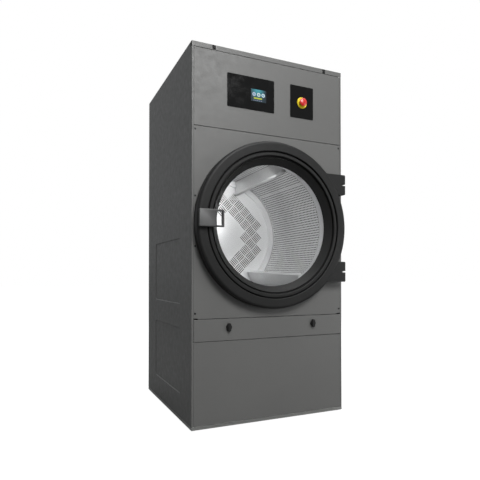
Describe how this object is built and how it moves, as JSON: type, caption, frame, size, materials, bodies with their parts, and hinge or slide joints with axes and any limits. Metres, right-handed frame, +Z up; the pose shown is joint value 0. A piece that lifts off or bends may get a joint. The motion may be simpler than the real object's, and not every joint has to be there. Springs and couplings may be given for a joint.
{
  "type": "tumble dryer",
  "caption": "Floor-standing commercial tumble dryer with a large round glass door, a perforated drum, a touch control panel, a stop button and a pull-out lint drawer.",
  "frame": {"origin": "on the floor, under the middle of the machine: midway between the sides, and midway between the front of the door handle and the end of the exhaust spigot", "axes": "+Z up, front face (door) towards -Y, +X to the right as seen from the front"},
  "size_m": [0.785, 0.95, 1.694],
  "materials": {
    "cabinet_paint": "fine texture powder coat, dark grey",
    "galvanised_steel": "galvanised sheet, matt",
    "stainless_steel": "satin stainless",
    "door_black": "satin black",
    "door_glass": "clear tempered glass",
    "black_rubber": "matt",
    "grey_felt": "pressed wool felt",
    "handle_metal": "bead blasted",
    "screen_glass": "gloss black",
    "display_face": "lit display",
    "stop_yellow": "satin yellow",
    "stop_red": "gloss red",
    "black_plastic": "satin",
    "zinc_steel": "zinc plated",
    "blackened_steel": "black oxide, satin",
    "cast_iron": "painted casting",
    "motor_grey": "grey machine paint",
    "aluminium_cast": "as cast and turned",
    "belt_rubber": "matt",
    "heater_rod": "heat darkened",
    "bronze": "sintered bronze"
  },
  "bodies": {
    "cabinet": {"base_frame": "zinc_steel", "levelling_feet": "zinc_steel", "left_side_panel": "cabinet_paint", "right_side_panel": "cabinet_paint", "top_cover": "cabinet_paint", "rear_panel": "galvanised_steel", "intake_louvre": "galvanised_steel", "front_panel": "cabinet_paint", "lower_front_panel": "cabinet_paint", "panel_screws": "blackened_steel", "door_collar": "stainless_steel", "felt_seal": "grey_felt", "drum_casing": "galvanised_steel", "lint_plenum": "galvanised_steel", "rear_bulkhead": "galvanised_steel", "heater_box": "galvanised_steel", "heating_elements": "heater_rod", "bearing_housing": "cast_iron", "drum_bearings": "zinc_steel", "drive_motor": "motor_grey", "motor_bracket": "zinc_steel", "drive_belt": "belt_rubber", "blower_housing": "galvanised_steel", "blower_motor": "motor_grey", "exhaust_collar": "galvanised_steel", "cable_gland": "black_plastic", "electronics_box": "black_plastic", "door_magnet": "zinc_steel", "door_hinge_brackets": "zinc_steel", "hinge_pins": "stainless_steel"},
    "door": {"door_ring": "door_black", "door_inner_ring": "door_black", "door_glass": "door_glass", "glass_clamp": "stainless_steel", "door_gasket": "black_rubber", "door_handle": "handle_metal", "door_hinge_bushes": "bronze", "door_catch_plate": "zinc_steel"},
    "control_panel": {"control_panel": "cabinet_paint", "control_hinge_leaves": "black_plastic", "touch_screen": "screen_glass", "display": "display_face", "estop_plate": "screen_glass", "estop_collar": "stop_yellow", "estop_contact_block": "black_plastic"},
    "estop_stem": {"estop_stem": "black_plastic"},
    "estop_head": {"estop_head": "stop_red"},
    "lint_drawer": {"drawer_front": "cabinet_paint", "lint_screen_frame": "galvanised_steel", "lint_mesh": "stainless_steel"},
    "latch_left": {"latch_left": "black_plastic"},
    "latch_right": {"latch_right": "black_plastic"},
    "drum": {"drum_shell": "stainless_steel", "drum_back_plate": "stainless_steel", "drum_lifters": "stainless_steel", "drum_shaft": "zinc_steel", "drum_pulley": "aluminium_cast"},
    "motor_rotor": {"motor_rotor": "zinc_steel"},
    "blower_wheel": {"blower_wheel": "galvanised_steel"}
  },
  "joints": [
    {"name": "door_swing", "type": "hinge", "parent": "cabinet", "child": "door", "pos_m": [0.374, -0.431, 0.904], "axis": [0, 0, 1], "range_deg": [0, 175]},
    {"name": "control_panel_lift", "type": "hinge", "parent": "cabinet", "child": "control_panel", "pos_m": [0, -0.4, 1.683], "axis": [-1, 0, 0], "range_deg": [0, 75]},
    {"name": "estop_press", "type": "slide", "parent": "control_panel", "child": "estop_stem", "axis": [0, 1, 0], "range_m": [0, 0.004]},
    {"name": "estop_twist", "type": "hinge", "parent": "estop_stem", "child": "estop_head", "pos_m": [0.162, -0.425, 1.505], "axis": [0, 1, 0], "range_deg": [0, 45], "stiffness_Nm_per_rad": 0.08},
    {"name": "lint_drawer_slide", "type": "slide", "parent": "cabinet", "child": "lint_drawer", "axis": [0, -1, 0], "range_m": [0, 0.45]},
    {"name": "latch_left_turn", "type": "hinge", "parent": "lint_drawer", "child": "latch_left", "pos_m": [-0.22, -0.408, 0.442], "axis": [0, -1, 0], "range_deg": [0, 90]},
    {"name": "latch_right_turn", "type": "hinge", "parent": "lint_drawer", "child": "latch_right", "pos_m": [0.22, -0.408, 0.442], "axis": [0, 1, 0], "range_deg": [0, 90]},
    {"name": "drum_spin", "type": "hinge", "parent": "cabinet", "child": "drum", "pos_m": [0, 0, 0.904], "axis": [0, 1, 0], "continuous": true},
    {"name": "motor_spin", "type": "hinge", "parent": "cabinet", "child": "motor_rotor", "pos_m": [0.225, 0, 0.262], "axis": [0, 1, 0], "continuous": true},
    {"name": "blower_spin", "type": "hinge", "parent": "cabinet", "child": "blower_wheel", "pos_m": [0, -0.005, 0.215], "axis": [1, 0, 0], "continuous": true}
  ],
  "couplings": [
    {"joint": "motor_spin", "follows": "drum_spin", "ratio": 8}
  ]
}
